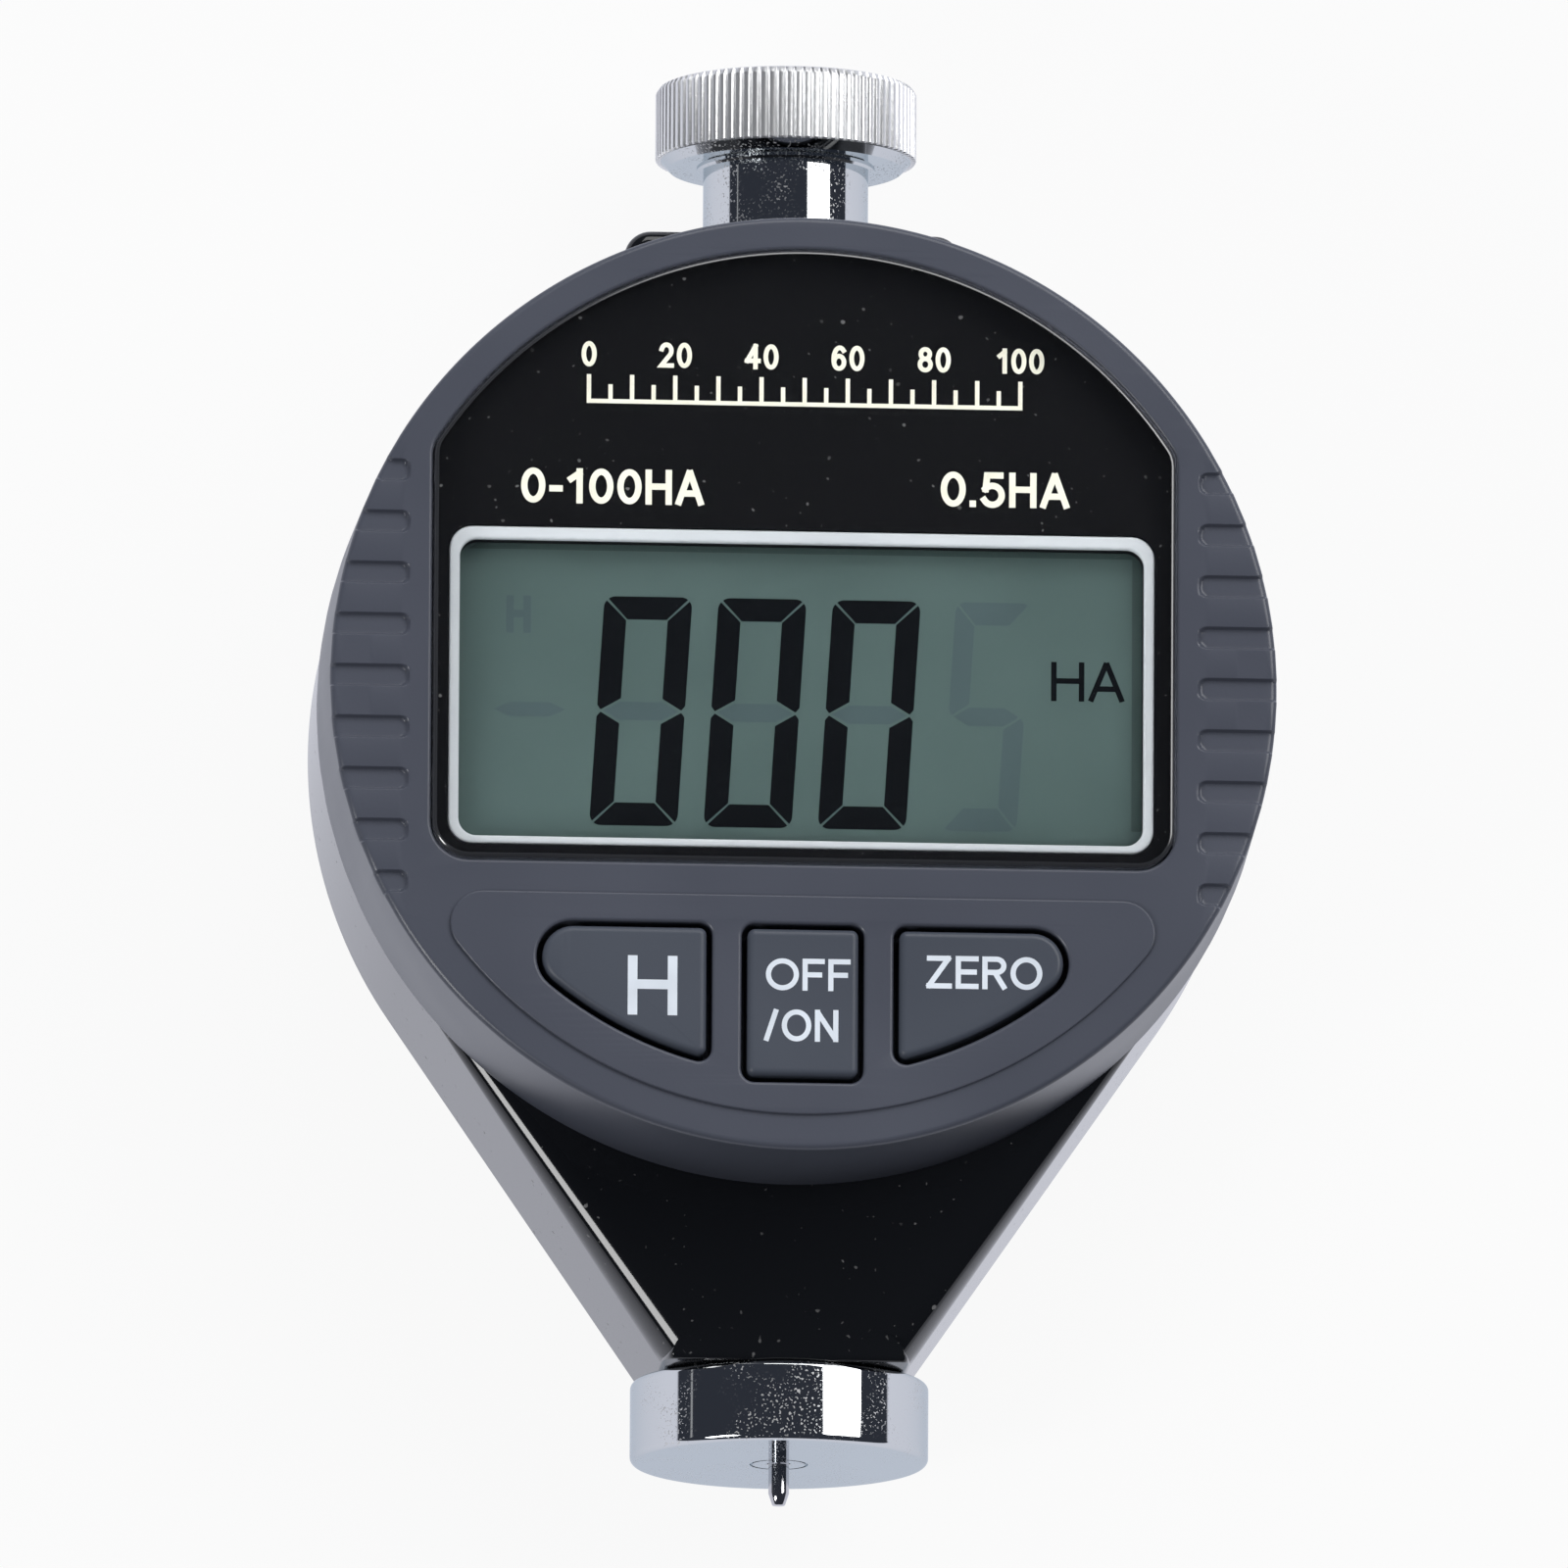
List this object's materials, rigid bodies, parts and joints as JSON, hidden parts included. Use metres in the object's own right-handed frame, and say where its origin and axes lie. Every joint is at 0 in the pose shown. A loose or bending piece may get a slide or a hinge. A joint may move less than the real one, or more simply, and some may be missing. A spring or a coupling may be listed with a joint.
{
  "type": "digital durometer",
  "caption": "Handheld digital hardness gauge with a round display head, a tapered body, a flat presser foot with a spring-loaded indenter and a knurled top knob.",
  "frame": {"origin": "under the middle of the dial, on the plane of the rear cover's flat face", "axes": "+X to the right of the display, +Y towards the knob along the spindle, +Z out of the display; the gauge lies on its back"},
  "size_m": [0.0574, 0.087, 0.0295],
  "materials": {
    "gloss_black_body": "glossy black paint on a light casting",
    "matte_black_cover": "fine matte black plastic",
    "grey_cover": "fine-grained dark blue-grey plastic",
    "key_grey": "satin dark grey plastic",
    "lens_glass": "clear polished plastic window",
    "mask_black": "black print behind the window",
    "frame_white": "white moulded plastic",
    "lcd_grey": "grey-green liquid crystal display",
    "strip_rubber": "soft dark rubber",
    "board_green": "green circuit board",
    "chip_black": "black moulded epoxy",
    "bright_chrome": "bright chrome plating",
    "needle_steel": "polished hardened steel",
    "screw_steel": "bright zinc-plated steel",
    "bush_brass": "turned brass",
    "carrier_metal": "milled aluminium"
  },
  "bodies": {
    "housing": {"body_housing": "gloss_black_body", "rear_cover": "matte_black_cover", "rear_cover_screws": "screw_steel", "front_cover": "grey_cover", "front_cover_screws": "screw_steel", "display_lens": "lens_glass", "display_mask": "mask_black", "lcd_bezel": "frame_white", "lcd_panel": "lcd_grey", "lcd_connector_strips": "strip_rubber", "main_board": "board_green", "processor_chip": "chip_black", "board_header": "chip_black", "keypad_mat": "strip_rubber", "presser_foot": "bright_chrome", "foot_set_screw": "screw_steel", "main_spring": "needle_steel", "lower_bush": "bush_brass", "upper_bush": "bush_brass", "sensor_stator": "board_green", "stator_screws": "screw_steel", "button_cell": "screw_steel", "battery_contacts": "bush_brass", "top_knob": "bright_chrome", "knob_nut": "screw_steel"},
    "plunger": {"indenter_needle": "needle_steel", "spindle": "needle_steel", "stop_collar": "bush_brass", "slider_carrier": "carrier_metal", "carrier_set_screw": "screw_steel", "sensor_slider": "board_green"},
    "hold_key": {"hold_button": "key_grey"},
    "power_key": {"power_button": "key_grey"},
    "zero_key": {"zero_button": "key_grey"},
    "cell_cap": {"battery_cap": "matte_black_cover", "battery_cap_seal": "strip_rubber"}
  },
  "joints": [
    {"name": "indenter_slide", "type": "slide", "parent": "housing", "child": "plunger", "axis": [0, 1, 0], "range_m": [0, 0.0025], "stiffness_N_per_m": 3000, "deforming": ["main_spring"]},
    {"name": "hold_press", "type": "slide", "parent": "housing", "child": "hold_key", "axis": [0, 0, -1], "range_m": [0, 0.0006], "stiffness_N_per_m": 1500},
    {"name": "power_press", "type": "slide", "parent": "housing", "child": "power_key", "axis": [0, 0, -1], "range_m": [0, 0.0006], "stiffness_N_per_m": 1500},
    {"name": "zero_press", "type": "slide", "parent": "housing", "child": "zero_key", "axis": [0, 0, -1], "range_m": [0, 0.0006], "stiffness_N_per_m": 1500},
    {"name": "battery_cap_turn", "type": "hinge", "parent": "housing", "child": "cell_cap", "pos_m": [-0.0145, 0.005, 0], "axis": [0, 0, 1], "range_deg": [0, 50]}
  ]
}
